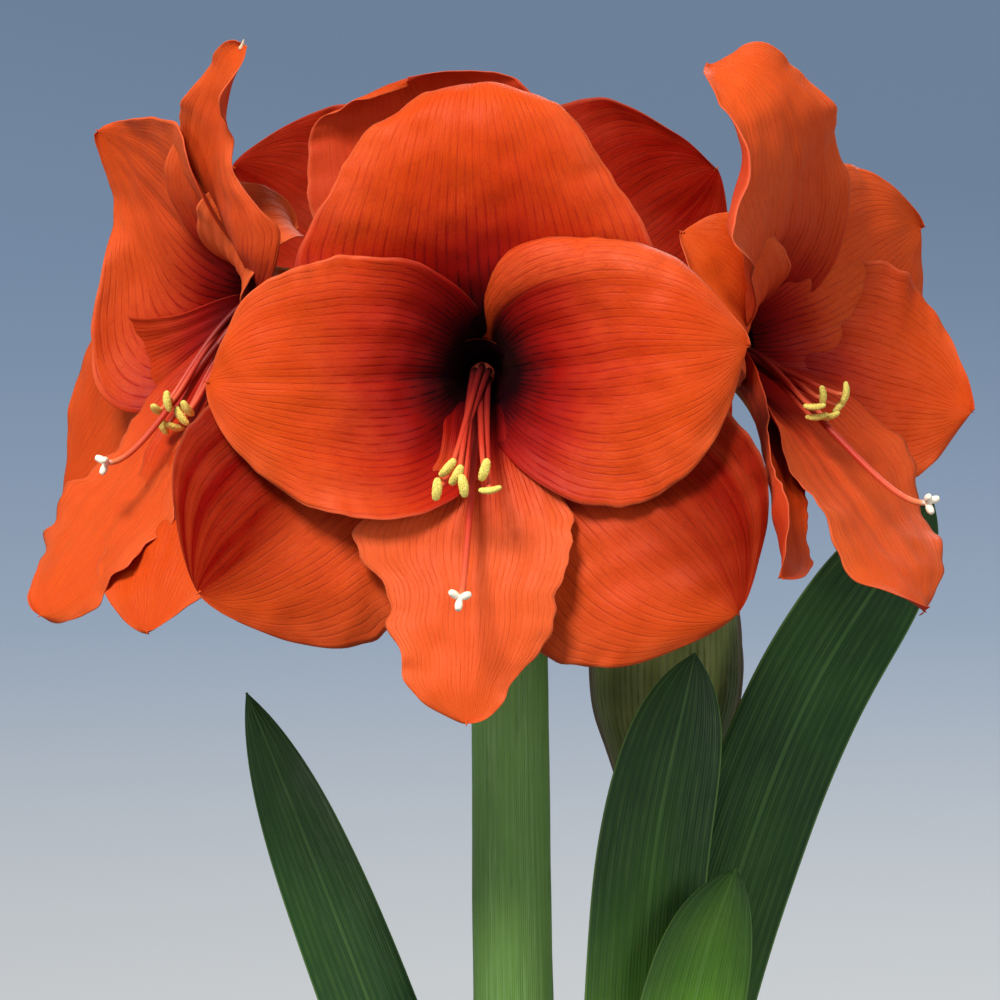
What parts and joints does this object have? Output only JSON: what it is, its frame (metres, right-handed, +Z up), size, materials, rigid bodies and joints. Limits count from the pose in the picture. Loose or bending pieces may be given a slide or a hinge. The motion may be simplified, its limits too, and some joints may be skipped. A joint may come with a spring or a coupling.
{
  "type": "potted amaryllis in flower",
  "caption": "Amaryllis in a terracotta pot: a bare-necked bulb in soil, strap leaves, a scape topped by an umbel of orange-red trumpet blooms, and a second scape with a closed bud.",
  "frame": {"origin": "centre of the flat underside of the pot", "axes": "+Z up along the pot's axis, -Y towards the viewer and the front bloom, +X to the viewer's right"},
  "size_m": [0.2866, 0.2898, 0.6327],
  "materials": {
    "terracotta": "matt, unglazed",
    "soil": "loose, damp",
    "bulb": "papery tunic",
    "stem": "waxy",
    "spathe": "leathery",
    "leaf": "waxy",
    "petal": "velvety",
    "stamen": "soft",
    "bract": "dry, papery"
  },
  "bodies": {
    "root": {"pot": "terracotta", "soil": "soil", "bulb": "bulb", "scape_main": "stem", "scape_second": "stem", "bud": "spathe", "leaf_left": "leaf", "leaf_middle": "leaf", "leaf_small": "leaf", "leaf_right": "leaf", "bract_left": "bract", "bract_right": "bract", "pedicel_front": "stem", "pedicel_left": "stem", "pedicel_right": "stem", "pedicel_back": "stem", "bloom_front": "petal", "bloom_left": "petal", "bloom_right": "petal", "bloom_back": "petal", "stamens_front": "stamen", "stamens_left": "stamen", "stamens_right": "stamen", "stamens_back": "stamen"}
  },
  "joints": []
}
